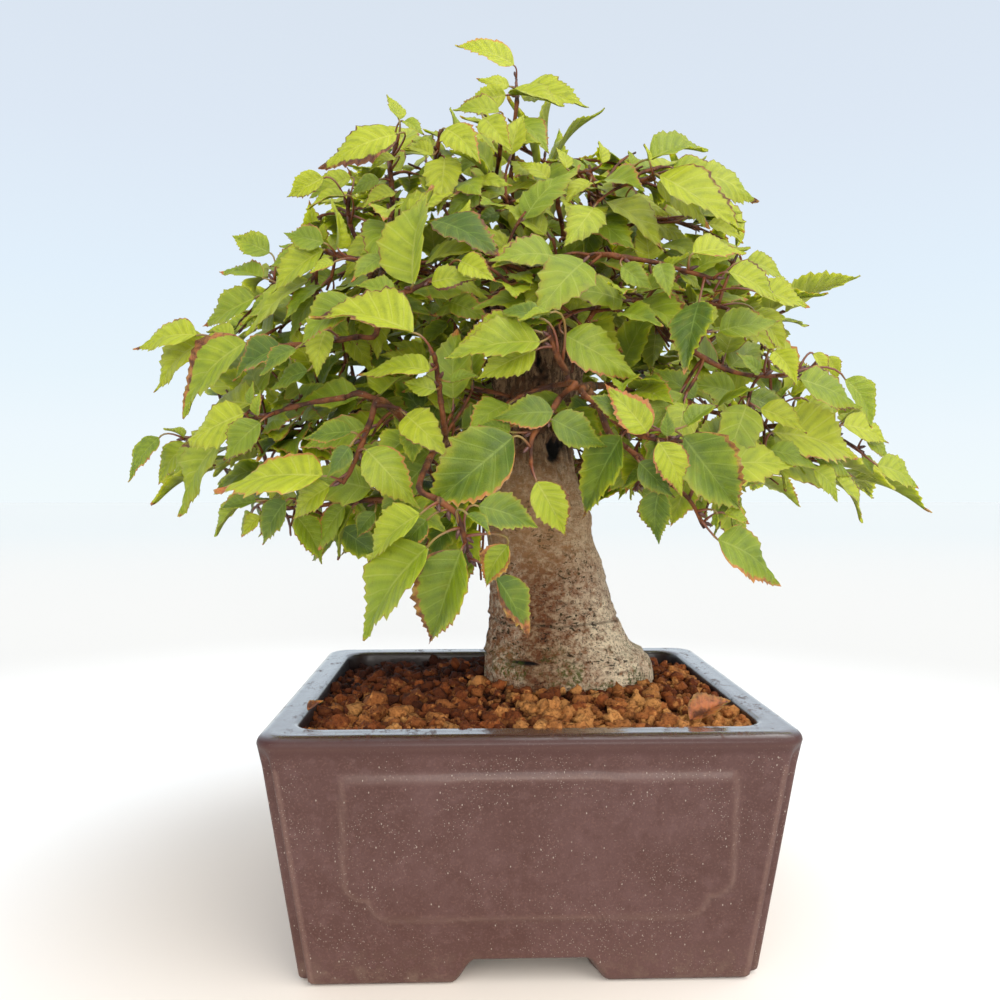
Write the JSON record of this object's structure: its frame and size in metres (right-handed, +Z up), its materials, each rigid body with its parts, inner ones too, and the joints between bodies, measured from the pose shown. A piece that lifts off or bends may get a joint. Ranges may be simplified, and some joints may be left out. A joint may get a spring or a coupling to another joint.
{
  "type": "korean hornbeam bonsai",
  "caption": "Small hornbeam bonsai: a stout trunk that flares at its foot and a dome of toothed leaves, in granular soil in a footed rectangular clay pot with raised panels.",
  "frame": {"origin": "middle of the underside of the whole plant's box, on the surface that the pot's feet stand on", "axes": "+Z up; -Y is the pot's long front face, which the picture shows; +X is to that view's right"},
  "size_m": [0.2472, 0.2258, 0.2841],
  "materials": {
    "pot_clay": "satin",
    "soil_granules": "matte",
    "bark": "matte",
    "leaf_green": "satin"
  },
  "bodies": {
    "root": {"pot": "pot_clay", "soil": "soil_granules", "spray_crown": "leaf_green", "spray_crown_left": "leaf_green", "spray_far_0_0": "leaf_green", "spray_far_0_1": "leaf_green", "spray_far_0_2": "leaf_green", "spray_far_0_3": "leaf_green", "spray_far_0_4": "leaf_green", "spray_far_0_5": "leaf_green", "spray_far_0_6": "leaf_green", "spray_far_1_0": "leaf_green", "spray_far_1_1": "leaf_green", "spray_far_1_2": "leaf_green", "spray_far_1_3": "leaf_green", "spray_far_1_4": "leaf_green", "spray_far_1_5": "leaf_green", "spray_far_2_0": "leaf_green", "spray_far_2_1": "leaf_green", "spray_far_2_2": "leaf_green", "spray_far_2_3": "leaf_green", "spray_far_3_0": "leaf_green", "spray_far_3_1": "leaf_green", "spray_far_3_2": "leaf_green", "spray_front_high": "leaf_green", "spray_front_left_mid": "leaf_green", "spray_front_left_upper": "leaf_green", "spray_front_low": "leaf_green", "spray_front_middle": "leaf_green", "spray_front_right": "leaf_green", "spray_front_upper": "leaf_green", "spray_left_arm": "leaf_green", "spray_left_bottom": "leaf_green", "spray_left_low": "leaf_green", "spray_left_low_arm": "leaf_green", "spray_left_mid_top": "leaf_green", "spray_left_outer_up": "leaf_green", "spray_left_tip": "leaf_green", "spray_left_top": "leaf_green", "spray_left_upper": "leaf_green", "spray_right_arm": "leaf_green", "spray_right_high": "leaf_green", "spray_right_low": "leaf_green", "spray_right_low_arm": "leaf_green", "spray_right_mid": "leaf_green", "spray_right_middle": "leaf_green", "spray_right_shoulder": "leaf_green", "spray_right_tip": "leaf_green", "spray_right_top": "leaf_green", "spray_right_upper": "leaf_green", "spray_top": "leaf_green", "spray_top_right": "leaf_green", "spray_upper_left_middle": "leaf_green", "spray_upper_middle": "leaf_green", "spray_upper_right_middle": "leaf_green", "wood": "bark"}
  },
  "joints": []
}
